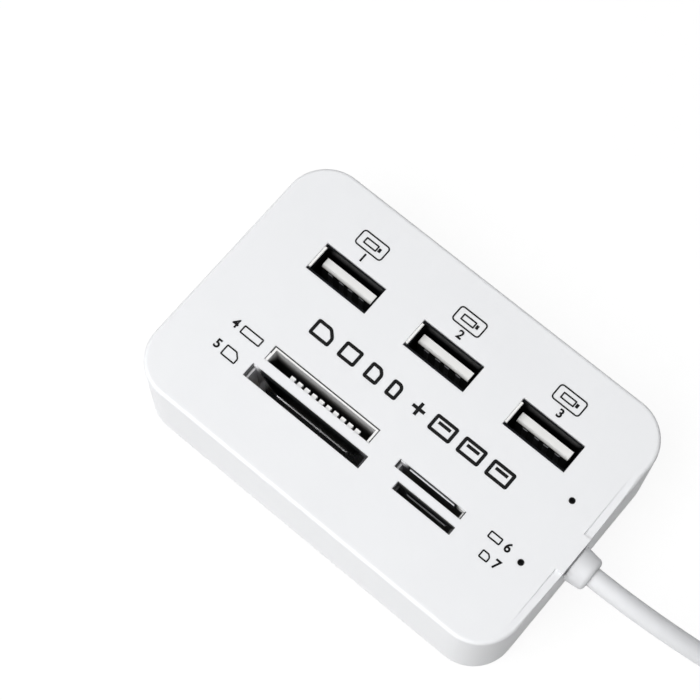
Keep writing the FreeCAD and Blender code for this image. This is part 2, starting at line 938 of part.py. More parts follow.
def main():
    """Build every piece and write it."""
    os.makedirs("parts", exist_ok=True)
    save("top_cover", make_top_cover())
    save("bottom_cover", make_bottom_cover())
    save("case_screws", Part.makeCompound([make_screw(x, y) for x, y in screw_places]))
    for name, (x, y) in foot_places.items():
        save(name, make_foot(x, y))

    pin_holes = []
    for number, x in enumerate(port_centres, start=1):
        save(f"port_{number}_shell", make_port_shell(x))
        save(f"port_{number}_insulator", make_port_insulator(x))
        save(f"port_{number}_contacts", make_port_contacts(x))
        pin_holes += port_leg_places(x) + [port_contact_slot(x)]

    save("stick_socket", make_stick_socket())
    save("stick_contacts", make_stick_contacts())
    for name, socket in card_sockets().items():
        save(name + "_socket", socket.body())
        save(name + "_shield", socket.shield())
        save(name + "_contacts", socket.contacts())

    for name, (x, y) in lamp_places.items():
        save(name, make_lamp(x, y))
        pin_holes += lamp_lead_places(x, y)
    save("main_board", make_board(pin_holes))

    save("hub_chip", make_chip((port_centres[0] + port_centres[1]) / 2, 0))
    save("card_chip", make_chip((port_centres[1] + port_centres[2]) / 2, 0))
    save("clock_crystal", make_crystal(port_centres[0] - crystal_length / 4, 0))
    capacitor_y = side_y - post_inset
    capacitor_pitch = (end_x - post_inset) / 2
    capacitors = [make_capacitor(x, capacitor_y) for x in row(port_count, capacitor_pitch)]
    save("port_capacitors", Part.makeCompound(capacitors))

    save("cable_gland", make_gland())
    save("cable_inner_end", make_inner_cable())
    save("cable_wires", make_wires())
    save("wire_header", make_header())
    save("cable_lead", make_lead())
    save("cable_coil", make_coil())
    save("coil_tie", make_tie())
    save("cable_tail", make_tail())
    save("plug_body", make_plug_body())
    save("plug_shell", make_plug_shell())
    save("plug_insert", make_plug_insert())
    save("plug_contacts", Part.makeCompound(plug_contact_bars()))


main()
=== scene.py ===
"""Finishes, cable, printed marks and studio for a flat white hub with ports and card slots."""

import math

import bmesh
import bpy
from mathutils import Euler, Matrix, Vector


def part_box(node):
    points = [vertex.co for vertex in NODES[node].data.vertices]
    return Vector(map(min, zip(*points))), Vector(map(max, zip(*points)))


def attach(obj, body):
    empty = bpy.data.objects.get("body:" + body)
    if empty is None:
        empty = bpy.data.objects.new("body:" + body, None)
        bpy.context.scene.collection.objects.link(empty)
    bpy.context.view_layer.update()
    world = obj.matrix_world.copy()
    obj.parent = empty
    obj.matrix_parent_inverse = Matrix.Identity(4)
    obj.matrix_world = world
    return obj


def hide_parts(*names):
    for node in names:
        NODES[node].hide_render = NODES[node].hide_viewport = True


bl_info = {
    "name": "Hub and Card Reader Finishes",
    "version": (1, 0, 0),
    "blender": (4, 5, 0),
    "location": "View3D > Sidebar > Hub",
    "description": "Dresses the packed hub: plastics, metals, cable, printed marks and studio",
    "category": "Object",
}

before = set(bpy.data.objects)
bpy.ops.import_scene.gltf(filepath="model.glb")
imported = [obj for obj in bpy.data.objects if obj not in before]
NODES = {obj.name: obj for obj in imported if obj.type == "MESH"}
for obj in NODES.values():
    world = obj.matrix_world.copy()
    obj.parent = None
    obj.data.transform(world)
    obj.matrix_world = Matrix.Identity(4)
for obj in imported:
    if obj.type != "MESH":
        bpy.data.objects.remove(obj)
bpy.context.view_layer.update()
MM = 0.001
TOP_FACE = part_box("top_cover")[1].z
PORTS = ("port_1", "port_2", "port_3")
CARDS = ("full_card", "mini_stick", "micro_card")
LAMPS = ("power_lamp", "card_lamp")
FEET = ("foot_near_left", "foot_near_right", "foot_far_left", "foot_far_right")

# Points nearer than this are one point, in metres
GAP = 1e-6
# Edges that turn by more than this stay sharp
SHARP = math.radians(40)

# Route of the cable in millimetres: from the gland to the coil, and from the coil to the plug
LEAD_POINTS = ((43.9, -2.45, 17.4), (56.0, -2.45, 17.4), (82.0, 4.6, 2.45), (98.0, 4.6, 2.45))
TAIL_OFFSETS = ((-5.0, 0.0, -0.2), (-11.0, 0.0, -2.2), (-16.0, 0.0, -2.2))
POINTS_PER_TURN = 24
# Share of a turn in which the cable climbs to the upper layer of the coil
CLIMB = 0.45

# Ribs of the plug's grip: how many, where the first lies in pitches, and the rounded share of a rib
GRIP_RIBS = 5
FIRST_RIB = 2
RIB_EDGE = 0.7
# Grooves of the plug's boot: how many, where the first one starts in pitches, and their section
BOOT_GROOVES = 3
FIRST_GROOVE = 0.7
GROOVE_SECTION = ((0.0, 0.0), (0.12, 1.0), (0.48, 1.0), (0.6, 0.0))

# From an end of a socket in millimetres: its black rim, the clip's start and end, and plain black again
CLIP_STEPS = (0.6, 0.66, 1.3, 2.4)
CORE_COLOURS = ("#B3202A", "#E8E8E6", "#1F7A46", "#1A1A1C")

# Marks beside the ports in millimetres, from the middle of the port: a plug in a frame, and a number
PORT_MARK_Y = 18.15
PORT_MARK_SHIFT = -0.4
FRAME_SIZE = (6.0, 3.3)
FRAME_ROUND = 0.7
PLUG_SHIFT = -0.25
PLUG_SIZE = (2.9, 1.35)
PLUG_ROUND = 0.15
TIP_SHIFT = 1.6
TIP_SIZE = (0.55, 0.8)
PORT_NUMBER_SHIFT = 0.2
PORT_NUMBER_Y = 15.2
PORT_NUMBER_SIZE = 2.3

# Marks beside the slots in millimetres: number, middle, width, height and cut corner of a card
SLOT_MARKS = (
    (4, -26.6, -8.1, 4.4, 1.7, 0.0),
    (5, -27.2, -12.9, 3.2, 2.2, 0.7),
    (6, 27.6, -8.7, 2.6, 1.4, 0.0),
    (7, 28.2, -12.2, 1.9, 1.6, 0.4),
)
SLOT_MARK_ROUND = 0.25
SLOT_NUMBER_GAP = 1.4
SLOT_NUMBER_SIZE = 2.4

# Marks between the rows in millimetres: cards by middle, width and cut corner, a plus, and ports by middle
CENTRE_Y = 0.35
CENTRE_HEIGHT = 3.3
CENTRE_ROUND = 0.45
CARD_SHAPES = ((-17.6, 4.4, 1.0), (-11.6, 3.8, 0.0), (-6.2, 3.0, 0.7), (-1.7, 2.4, 0.5))
PLUS_X = 3.6
PLUS_SIZE = 2.6
PORT_SHAPES = (9.0, 15.2, 21.4)
PORT_SHAPE_WIDTH = 4.8
TONGUE_Y = 0.75
TONGUE_SIZE = (2.6, 0.6)
# Share of its height by which a number's strokes are made bolder
NUMBER_WEIGHT = 0.03

# Softboxes in metres: place, width and height
KEY = ((-0.13, -0.36, 0.66), 0.5, 0.5)
FILL = ((-0.03, 0.03, 0.75), 0.7, 0.7)
STRIP = ((-0.12, -0.66, 0.13), 0.8, 0.22)
FLOOR_HALF = 2.0
SENSOR_WIDTH = 36.0
NEAREST_VIEW = 0.01


def linear(code):
    """An sRGB hex value as linear red, green and blue."""
    parts = [int(code[i : i + 2], 16) / 255 for i in (1, 3, 5)]
    return [p / 12.92 if p <= 0.04045 else ((p + 0.055) / 1.055) ** 2.4 for p in parts]


def tone(name, description, code):
    """A colour that a user may change."""
    return bpy.props.FloatVectorProperty(
        name=name, description=description, default=linear(code), subtype="COLOR", min=0.0, max=1.0
    )


def length(name, description, millimetres):
    """A length that a user may change."""
    return bpy.props.FloatProperty(
        name=name, description=description, default=millimetres * MM, unit="LENGTH", precision=5
    )


def angle(name, description, degrees):
    """An angle that a user may change."""
    return bpy.props.FloatProperty(
        name=name, description=description, default=math.radians(degrees), subtype="ANGLE"
    )


def power(name, description, watts):
    """A lamp's power that a user may change."""
    return bpy.props.FloatProperty(name=name, description=description, default=watts, min=0.0, unit="POWER")


def level(name, description, share):
    """A share of white that a user may change."""
    return bpy.props.FloatProperty(name=name, description=description, default=share, min=0.0)


class HubColours(bpy.types.PropertyGroup):
    """Colours of the hub's plastics, metals and ink."""

    housing: tone("Housing", "White of the moulded top cover", "#F1F2F4")
    under: tone("Underside", "White of the floor plate", "#E6E7E9")
    tongue: tone("Tongues", "White of the tongues in the ports", "#F8F8F6")
    comb: tone("Comb", "White of the ribbed stick socket", "#F8F8F7")
    socket: tone("Sockets", "Black of the card sockets", "#17181A")
    ink: tone("Ink", "Colour of the printed marks", "#060607")
    jacket: tone("Cable", "White of the cable's jacket", "#E6E7E9")
    plating: tone("Plating", "Colour of the plug's plated sheet", "#C9CACC")
    gilding: tone("Contacts", "Colour of the contacts' plating", "#D8B777")
    mask: tone("Board", "Colour of the board's solder mask", "#0B120E")


class HubSizes(bpy.types.PropertyGroup):
    """Sizes of what the scene adds to the hub."""

    cable_diameter: length("Cable Diameter", "Outer diameter of the cable's jacket", 3.7)
    coil_radius: length("Coil Radius", "Middle radius of the coil's turns", 19.5)
    turn_pitch: length("Turn Pitch", "Distance between neighbouring turns of the coil", 3.75)
    coil_turns: bpy.props.FloatProperty(
        name="Coil Turns", description="Turns in the coil's two layers", default=3.5, min=1.0
    )
    tie_round: length("Tie Round", "Radius of the edges of the coil's band", 0.2)
    gland_diameter: length("Gland Diameter", "Outer diameter of the gland's collar", 6.9)
    gland_taper: length("Gland Taper", "How much the gland's radius shrinks to its outer end", 0.4)
    gland_round: length("Gland Round", "Radius of the gland's outer rim", 0.8)
    collar_gap: length("Collar Gap", "Groove between the wall and the gland's collar", 0.3)
    neck_size: length("Neck Size", "Width of the gland's neck in the wall", 4.2)
    flange_height: length("Flange Height", "Height of the gland's inner flange", 5.6)
    flange_thickness: length("Flange Thickness", "Thickness of the gland's inner flange", 1.5)
    grip_round: length("Grip Round", "Radius of the long edges of the plug's grip", 1.6)
    grip_rim: length("Grip Rim", "Radius of the end edges of the plug's grip", 0.7)
    rib_width: length("Rib Width", "Width of a rib on the plug's grip", 0.8)
    rib_length: length("Rib Length", "Length of a rib on the plug's grip", 9.0)
    rib_height: length("Rib Height", "Height of a rib on the plug's grip", 0.3)
    boot_length: length("Boot Length", "Length of the boot behind the plug's grip", 8.0)
    boot_diameter: length("Boot Diameter", "Diameter of that boot at the grip", 5.6)
    boot_taper: length("Boot Taper", "How much the boot's radius shrinks to the cable", 0.5)
    boot_groove: length("Boot Groove", "Depth of the boot's grooves", 0.35)
    window_gap: length("Window Gap", "From a port's shell to the end of its window", 0.1)
    lip_width: length("Lip Width", "Width of the lip at the end of a port's window", 0.52)
    lip_length: length("Lip Length", "Length of that lip across the window", 4.6)
    lip_height: length("Lip Height", "Thickness of that lip", 0.4)
    lip_round: length("Lip Round", "Radius of that lip's upper edges", 0.1)
    lip_recess: length("Lip Recess", "From the top face down to that lip", 0.2)
    sleeve_bore: length("Sleeve Bore", "Inner diameter of the sleeves in the lamp holes", 1.02)
    sleeve_wall: length("Sleeve Wall", "Wall of those sleeves", 0.08)
    sleeve_recess: length("Sleeve Recess", "From the top face down to those sleeves", 0.04)
    # The seal below is painted shadow: a thin black strip that stands in for the shade in the joint round
    # the stick socket
    seal_width: length("Seal Width", "Width of the joint round the stick socket", 0.11)
    seal_lap: length("Seal Lap", "How far the seal lies on the socket's rim", 0.1)
    seal_height: length("Seal Height", "Thickness of the seal on the socket's rim", 0.1)
    ink_height: length("Ink Height", "Thickness of the printed ink", 0.02)
    fine_stroke: length("Fine Stroke", "Line width of the small printed marks", 0.28)
    bold_stroke: length("Bold Stroke", "Line width of the marks between the rows", 0.62)


class HubStudio(bpy.types.PropertyGroup):
    """Camera and light of the studio."""

    azimuth: angle("Azimuth", "Camera's angle round the hub", 38.729)
    elevation: angle("Elevation", "Camera's angle above the floor", 71.697)
    roll: angle("Roll", "Camera's turn about its own axis", 1.431)
    distance: length("Distance", "From the camera to the point it aims at", 351.634)
    aim: bpy.props.FloatVectorProperty(
        name="Aim", description="Point on the top face that the camera aims at", subtype="TRANSLATION",
        unit="LENGTH", default=(-0.012103, 0.000885, 0.0214),
    )
    focal_length: bpy.props.FloatProperty(
        name="Focal Length", description="Lens for a sensor 36 mm wide", default=105.43, unit="CAMERA"
    )
    key_power: power("Key Light", "Power of the high front softbox", 3.5)
    fill_power: power("Fill Light", "Power of the large sheet overhead", 2.2)
    strip_power: power("Strip Light", "Power of the low strip before the front wall", 1.6)
    room: level("Room Light", "Level of the room round the table", 0.1)
    paper_glow: level("Paper Glow", "Part of the floor's white that no shadow takes away", 0.89)


def ends(node, axis=0):
    """Lowest and highest place of a CAD piece along an axis."""
    low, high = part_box(node)
    return low[axis], high[axis]


def middle(node):
    """Middle of a CAD piece's box."""
    low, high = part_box(node)
    return (low + high) / 2


def add(tree, kind, sockets, **settings):
    """Add a node with its settings, and set or link its sockets."""
    node = tree.nodes.new(kind)
    for name, value in settings.items():
        setattr(node, name, value)
    for name, value in sockets.items():
        if isinstance(value, bpy.types.NodeSocket):
            tree.links.new(value, node.inputs[name])
        else:
            node.inputs[name].default_value = value
    return node


def blank_material(name):
    """An empty node material, and the place on the piece that its patterns hang on."""
    material = bpy.data.materials.new(name)
    material.use_nodes = True
    tree = material.node_tree
    tree.nodes.clear()
    return material, tree, add(tree, "ShaderNodeTexCoord", {}).outputs["Object"]


def paint(colour, darker=0.0):
    """A colour with its alpha, brought down by a share."""
    return (*(c * (1 - darker) for c in colour), 1.0)


def moulded(
    tree, place, colour, cloud_mm, grain_mm, depth_mm, roughness, veil=0.05, spread_mm=0.0, shine=0.5,
    drift=0.06,
):
    """Moulded plastic: faint clouds of colour, an eroded grain, a gloss that drifts, and spread light."""
    clouds = add(tree, "ShaderNodeTexNoise", {"Vector": place, "Scale": 1 / (cloud_mm * MM), "Detail": 3.0})
    tint = add(
        tree, "ShaderNodeMix", {0: clouds.outputs["Fac"], 6: paint(colour), 7: paint(colour, veil)},
        data_type="RGBA",
    )
    grain = add(tree, "ShaderNodeTexNoise", {"Vector": place, "Scale": 1 / (grain_mm * MM), "Detail": 2.0})
    relief = add(
        tree, "ShaderNodeBump", {"Height": grain.outputs["Fac"], "Distance": depth_mm * MM, "Strength": 1.0}
    )
    gloss = add(
        tree, "ShaderNodeMapRange",
        {"Value": clouds.outputs["Fac"], "To Min": roughness - drift, "To Max": roughness + drift},
    )
    return add(
        tree, "ShaderNodeBsdfPrincipled",
        {
            "Base Color": tint.outputs[2], "Roughness": gloss.outputs["Result"], "IOR": 1.53,
            "Normal": relief.outputs["Normal"], "Specular IOR Level": shine,
            "Subsurface Weight": 0.7 if spread_mm else 0.0,
            "Subsurface Radius": (1.0, 1.0, 1.0), "Subsurface Scale": spread_mm * MM,
        },
    )


def sunken(tree, place, colour, top_mm, sides_mm, reach_mm, roughness, cloud_mm=1.5, veil=0.05, drift=0.05):
    """White moulding down in a mouth, with painted shade: white at its rim, and painted dark below it,
    sooner at its near side.
    """
    parts = add(tree, "ShaderNodeSeparateXYZ", {"Vector": place})
    reach = add(
        tree, "ShaderNodeMapRange",
        {
            "Value": parts.outputs["Y"], "From Min": sides_mm[0] * MM, "From Max": sides_mm[1] * MM,
            "To Min": reach_mm[0] * MM, "To Max": reach_mm[1] * MM,
        },
    )
    depth = add(tree, "ShaderNodeMath", {0: top_mm * MM, 1: parts.outputs["Z"]}, operation="SUBTRACT")
    share = add(
        tree, "ShaderNodeMath", {0: depth.outputs[0], 1: reach.outputs["Result"]}, operation="DIVIDE"
    )
    painted_shade = add(tree, "ShaderNodeMapRange", {"Value": share.outputs[0]}, interpolation_type="SMOOTHSTEP")
    clouds = add(tree, "ShaderNodeTexNoise", {"Vector": place, "Scale": 1 / (cloud_mm * MM), "Detail": 3.0})
    white = add(
        tree, "ShaderNodeMix", {0: clouds.outputs["Fac"], 6: paint(colour), 7: paint(colour, veil)},
        data_type="RGBA",
    )
    # Painted shade: the white turns near black with depth, as the shade deep in a mouth would, and is no
    # colour of the plastic
    tint = add(
        tree, "ShaderNodeMix",
        {0: painted_shade.outputs["Result"], 6: white.outputs[2], 7: paint(linear("#121214"))}, data_type="RGBA",
    )
    gloss = add(
        tree, "ShaderNodeMapRange",
        {"Value": clouds.outputs["Fac"], "To Min": roughness - drift, "To Max": roughness + drift},
    )
    return add(
        tree, "ShaderNodeBsdfPrincipled",
        {"Base Color": tint.outputs[2], "Roughness": gloss.outputs["Result"], "IOR": 1.53},
    )


def clipped(tree, place, colour, span, clips, roughness, cloud_mm=1.2, depth_mm=0.01, drift=0.1):
    """Black moulding with a sprung clip of bare metal at each end: a ramp along the socket. The clips' tints
    are painted light, each clip given the brightness of the light on it.
    """
    parts = add(tree, "ShaderNodeSeparateXYZ", {"Vector": place})
    along = add(
        tree, "ShaderNodeMapRange",
        {"Value": parts.outputs["X"], "From Min": span[0], "From Max": span[1]},
    )
    ramp = add(tree, "ShaderNodeValToRGB", {"Fac": along.outputs["Result"]})
    stops = ramp.color_ramp.elements
    for stop in stops:
        stop.color = paint(colour)
    black = (colour, colour)
    # The clips' tints are painted light and shade, not the plain colour of the tin
    metal = [linear(code) for code in clips]
    for inset, tints in zip(CLIP_STEPS, (black, metal, metal, black)):
        share = inset * MM / (span[1] - span[0])
        for at, tint in zip((share, 1 - share), tints):
            stops.new(at).color = paint(tint)
    clouds = add(tree, "ShaderNodeTexNoise", {"Vector": place, "Scale": 1 / (cloud_mm * MM), "Detail": 3.0})
    gloss = add(
        tree, "ShaderNodeMapRange",
        {"Value": clouds.outputs["Fac"], "To Min": roughness - drift, "To Max": roughness + drift},
    )
    relief = add(
        tree, "ShaderNodeBump", {"Height": clouds.outputs["Fac"], "Distance": depth_mm * MM, "Strength": 1.0}
    )
    return add(
        tree, "ShaderNodeBsdfPrincipled",
        {
            "Base Color": ramp.outputs["Color"], "Roughness": gloss.outputs["Result"], "IOR": 1.5,
            "Normal": relief.outputs["Normal"], "Specular IOR Level": 0.2,
        },
    )


def plated(
    tree, place, colour, line_mm, stretch, roughness, relief_mm=0.004, veil=0.22, drift=(-0.08, 0.1)
):
    """Rolled and plated metal: fine lines along the rolling, and a gloss that drifts."""
    along = add(tree, "ShaderNodeMapping", {"Vector": place, "Scale": stretch})
    lines = add(
        tree, "ShaderNodeTexNoise",
        {"Vector": along.outputs["Vector"], "Scale": 1 / (line_mm * MM), "Detail": 4.0},
    )
    tint = add(
        tree, "ShaderNodeMix", {0: lines.outputs["Fac"], 6: paint(colour), 7: paint(colour, veil)},
        data_type="RGBA",
    )
    gloss = add(
        tree, "ShaderNodeMapRange",
        {"Value": lines.outputs["Fac"], "To Min": roughness + drift[0], "To Max": roughness + drift[1]},
    )
    relief = add(
        tree, "ShaderNodeBump", {"Height": lines.outputs["Fac"], "Distance": relief_mm * MM, "Strength": 1.0}
    )
    return add(
        tree, "ShaderNodeBsdfPrincipled",
        {
            "Base Color": tint.outputs[2], "Metallic": 1.0, "Roughness": gloss.outputs["Result"],
            "Normal": relief.outputs["Normal"],
        },
    )


def solder_mask(tree, place, colour, track_mm, weave_mm, relief_mm, paler=1.8, veil=0.12):
    """Lacquered glass-fibre board: copper tracks show as paler bands under the mask."""
    tracks = add(
        tree, "ShaderNodeTexBrick",
        {
            "Vector": place, "Color1": paint(colour), "Color2": paint(colour, veil),
            "Mortar": paint([min(1.0, c * paler) for c in colour]), "Scale": 1 / (track_mm * MM),
            "Mortar Size": 0.04, "Mortar Smooth": 0.2,
        },
    )
    weave = add(tree, "ShaderNodeTexNoise", {"Vector": place, "Scale": 1 / (weave_mm * MM), "Detail": 2.0})
    relief = add(
        tree, "ShaderNodeBump",
        {"Height": tracks.outputs["Fac"], "Distance": relief_mm * MM, "Strength": 1.0},
    )
    gloss = add(
        tree, "ShaderNodeMapRange", {"Value": weave.outputs["Fac"], "To Min": 0.22, "To Max": 0.38}
    )
    return add(
        tree, "ShaderNodeBsdfPrincipled",
        {
            "Base Color": tracks.outputs["Color"], "Roughness": gloss.outputs["Result"], "IOR": 1.5,
            "Normal": relief.outputs["Normal"],
        },
    )


def coloured_cores(tree, place, codes, sides, grain_mm):
    """Drawn wire sleeves: one colour for each core, in bands across the row."""
    across = add(tree, "ShaderNodeSeparateXYZ", {"Vector": place})
    band = add(
        tree, "ShaderNodeMapRange",
        {"Value": across.outputs["Y"], "From Min": sides[0], "From Max": sides[1]},
    )
    ramp = add(tree, "ShaderNodeValToRGB", {"Fac": band.outputs["Result"]})
    stops = ramp.color_ramp.elements
    ramp.color_ramp.interpolation = "CONSTANT"
    for core, code in enumerate(codes[1:], start=1):
        stops.new(core / len(codes)).color = paint(linear(code))
    stops[0].color = paint(linear(codes[0]))
    grain = add(tree, "ShaderNodeTexNoise", {"Vector": place, "Scale": 1 / (grain_mm * MM)})
    gloss = add(
        tree, "ShaderNodeMapRange", {"Value": grain.outputs["Fac"], "To Min": 0.35, "To Max": 0.5}
    )
    return add(
        tree, "ShaderNodeBsdfPrincipled",
        {"Base Color": ramp.outputs["Color"], "Roughness": gloss.outputs["Result"], "IOR": 1.53},
    )


def finish(name):
    """A finish of the hub by name, made once."""
    ready = bpy.data.materials.get(name)
    if ready:
        return ready
    tones = bpy.context.scene.hub_colours
    # Scale of a metal's lines along X, Y and Z: the smaller it is, the longer they run that way
    upright = (1.0, 1.0, 0.06)
    blade = (1.0, 1.0, 0.1)
    can = (0.1, 1.0, 1.0)
    even = (1.0, 1.0, 1.0)
    recipes = {
        # Acrylonitrile butadiene styrene from a finely eroded mould: satin, almost without texture.
        # The grain of 0.05 mm is drawn at 0.35 mm, so that it shows at all.
        "white_abs_satin": (moulded, tones.housing, dict(
            cloud_mm=14.0, grain_mm=0.35, depth_mm=0.004, roughness=0.56, veil=0.02, spread_mm=0.4
        )),
        # The same plastic from a coarser half of the mould: duller, with a grain that a finger feels.
        "white_abs_coarse": (moulded, tones.under, dict(
            cloud_mm=9.0, grain_mm=0.5, depth_mm=0.02, roughness=0.58
        )),
        # Polybutylene terephthalate, glass filled: chalky white with a dull skin.
        "white_pbt_chalky": (moulded, tones.tongue, dict(
            cloud_mm=3.0, grain_mm=0.2, depth_mm=0.006, roughness=0.5
        )),
        # The tongues in the ports are of it too, with painted shade: only their tips stay white, and below
        # them they are painted near black.
        "white_pbt_tongue_painted_shade": (sunken, tones.tongue, dict(
            top_mm=18.1, sides_mm=(7.0, 14.0), reach_mm=(0.7, 0.7), roughness=0.5
        )),
        # Liquid crystal polymer, unfilled white: smooth and a little waxy. Painted shade darkens it between
        # its ribs and down its walls, sooner down the near wall than the far one.
        "white_lcp_waxy_painted_shade": (sunken, tones.comb, dict(
            top_mm=20.8, sides_mm=(-9.2, -7.2), reach_mm=(1.6, 6.0), roughness=0.42
        )),
        # The same polymer in black: dull, with flow marks that catch the light.
        "black_lcp_dull": (moulded, tones.socket, dict(
            cloud_mm=2.5, grain_mm=0.25, depth_mm=0.008, roughness=0.55, veil=0.3
        )),
        # The same black with tinned clips at its ends, their tints painted light: the left one painted
        # bright as if lit, the right one painted dim as if in shade.
        "black_lcp_full": (clipped, tones.socket, dict(
            span=ends("full_card_socket"), clips=("#F0F0F2", "#5A5B5E"), roughness=0.55
        )),
        # The same black again, with a tinned clip at both ends painted near white as a painted highlight.
        "black_lcp_mini": (clipped, tones.socket, dict(
            span=ends("mini_stick_socket"), clips=("#E8E8EA", "#F4F4F3"), roughness=0.55
        )),
        # Epoxy moulding compound of the chips: charcoal, evenly pitted.
        "charcoal_epoxy": (moulded, linear("#26272A"), dict(
            cloud_mm=2.0, grain_mm=0.15, depth_mm=0.01, roughness=0.6, veil=0.25
        )),
        # Cast epoxy lens of the lamps: smoky while unlit, with hardly a glint.
        "smoky_epoxy": (moulded, linear("#0C0D10"), dict(
            cloud_mm=1.5, grain_mm=0.4, depth_mm=0.002, roughness=0.4, veil=0.2, shine=0.15
        )),
        # Natural nylon of the wire header: ivory and slightly greasy.
        "ivory_nylon": (moulded, linear("#E7E2D2"), dict(
            cloud_mm=2.0, grain_mm=0.3, depth_mm=0.006, roughness=0.45
        )),
        # Thermoplastic rubber of the feet: pale grey and dry.
        "grey_rubber": (moulded, linear("#B9BABD"), dict(
            cloud_mm=2.5, grain_mm=0.35, depth_mm=0.03, roughness=0.82, veil=0.12
        )),
        # Soft vinyl of jacket, gland and plug: a silky bloom over white.
        "white_vinyl_silky": (moulded, tones.jacket, dict(
            cloud_mm=6.0, grain_mm=0.4, depth_mm=0.006, roughness=0.58, veil=0.03, spread_mm=1.6
        )),
        # Polyethylene band of the coil: greyer than the cable, with a soft gloss.
        "grey_polyethylene": (moulded, linear("#C9CBCE"), dict(
            cloud_mm=4.0, grain_mm=0.3, depth_mm=0.006, roughness=0.4, veil=0.08
        )),
        # Nickel plated steel of the plug's shell: bright, with a fine tooth from the rolls.
        "nickel_plate_rolled": (plated, tones.plating, dict(line_mm=0.25, stretch=upright, roughness=0.3)),
        # Bright tin of the widest card shield: almost white where an edge looks up.
        "tin_plate_bright": (plated, linear("#ECECEE"), dict(
            line_mm=3.0, stretch=upright, roughness=0.26, relief_mm=0.0005
        )),
        # Stainless spring strip of the two small shields: greyer than tin.
        "spring_strip": (plated, linear("#B4B5B8"), dict(line_mm=0.25, stretch=upright, roughness=0.34)),
        # Near black metal of the ports' shells, a dark mirror dulled by fine lines: partly black nickel,
        # partly painted shade of the deep ports.
        "black_nickel_painted_shade": (plated, linear("#131416"), dict(line_mm=0.25, stretch=upright, roughness=0.45)),
        # Matt tin of the ports' contacts, streaked along the blades: darkened to a plain grey as painted
        # shade of the deep ports.
        "tin_plate_matt_painted_shade": (plated, linear("#77787B"), dict(line_mm=0.2, stretch=blade, roughness=0.45)),
        # Zinc plate of the screws: bluish and cloudy.
        "zinc_plate_cloudy": (plated, linear("#B4B9C0"), dict(line_mm=0.8, stretch=even, roughness=0.36)),
        # Hard gold over phosphor bronze, pale from wear.
        "gold_flash": (plated, tones.gilding, dict(line_mm=0.2, stretch=blade, roughness=0.28)),
        # Drawn nickel-silver can of the crystal: a pale shine, with lines along its length.
        "drawn_can": (plated, linear("#D0D1D2"), dict(line_mm=0.3, stretch=can, roughness=0.25)),
        # Glass-fibre laminate under black-green lacquer: glossy, with the copper tracks paler beneath.
        "dark_laminate": (solder_mask, tones.mask, dict(track_mm=4.0, weave_mm=0.6, relief_mm=0.03)),
        # Drawn vinyl sleeves of the four cores: red, white, green and black, with a soft gloss.
        "core_sleeves": (coloured_cores, CORE_COLOURS, dict(sides=ends("cable_wires", 1), grain_mm=0.3)),
        # Pad-printed ink: near black, thinner where the pad lifted, and dull against the plastic.
        "pad_ink": (moulded, tones.ink, dict(
            cloud_mm=0.8, grain_mm=0.1, depth_mm=0.002, roughness=0.75, veil=0.35, shine=0.15
        )),
    }
    maker, colour, settings = recipes[name]
    material, tree, place = blank_material(name)
    shader = maker(tree, place, colour, **settings)
    add(tree, "ShaderNodeOutputMaterial", {"Surface": shader.outputs["BSDF"]})
    return material


def dress(name, *nodes):
    """Give CAD pieces a finish."""
    for node in nodes:
        for slot in NODES[node].material_slots:
            slot.material = finish(name)


def place_piece(piece, name):
    """Link a new piece, finish it, and let it ride on the hub."""
    bpy.context.scene.collection.objects.link(piece)
    piece.data.materials.append(finish(name))
    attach(piece, "root")
    return piece


def place_shape(name, shape, finish_name, smooth=False):
    """Make a shape a piece of the hub."""
    mesh = bpy.data.meshes.new(name)
    shape.to_mesh(mesh)
    shape.free()
    if smooth:
        mesh.shade_smooth()
        mesh.set_sharp_from_angle(angle=SHARP)
    return place_piece(bpy.data.objects.new(name, mesh), finish_name)


def block(shape, low, high):
    """A box between two corners; returns its vertices."""
    put = Matrix.Translation((low + high) / 2) @ Matrix.Diagonal((*(high - low), 1.0))
    return bmesh.ops.create_cube(shape, size=1.0, matrix=put)["verts"]


def edges_beyond(shape, axis, limit):
    """Edges of a shape that lie at a limit along an axis, or beyond it."""
    return [e for e in shape.edges if all(v.co[axis] > limit - GAP for v in e.verts)]


def run_along_x(edge):
    """How far an edge runs along X."""
    return abs(edge.verts[0].co.x - edge.verts[1].co.x)


def round_edges(shape, edges, radius, segments):
    """Round some edges of a shape."""
    bmesh.ops.bevel(
        shape, geom=edges, offset=radius, affect="EDGES", segments=segments, profile=0.5, material=-1
    )


def round_corners(shape, corners, reach, segments):
    """Round corners of a flat face, or cut them off with one segment; returns the face."""
    made = bmesh.ops.bevel(
        shape, geom=corners, offset=reach, affect="VERTICES", segments=segments, profile=0.5, material=-1
    )
    return made["verts"][0].link_faces[0]


def lift(shape, points, height):
    """Move points of a shape along Z."""
    bmesh.ops.translate(shape, vec=(0.0, 0.0, height), verts=points)


def lift_made(shape, made, height):
    """Move what an extrusion has made along Z."""
    lift(shape, [v for v in made["geom"] if isinstance(v, bmesh.types.BMVert)], height)


def thicken(shape, height):
    """Give flat faces a thickness upwards."""
    lift_made(shape, bmesh.ops.extrude_face_region(shape, geom=shape.faces[:]), height)
    bmesh.ops.recalc_face_normals(shape, faces=shape.faces[:])


def plate(shape, x, y, wide, high):
    """A flat rectangle on the top face, in millimetres; returns its face."""
    put = Matrix.Translation((x * MM, y * MM, TOP_FACE)) @ Matrix.Diagonal((wide * MM, high * MM, 1.0, 1.0))
    made = bmesh.ops.create_grid(shape, x_segments=1, y_segments=1, size=0.5, matrix=put)
    return made["verts"][0].link_faces[0]


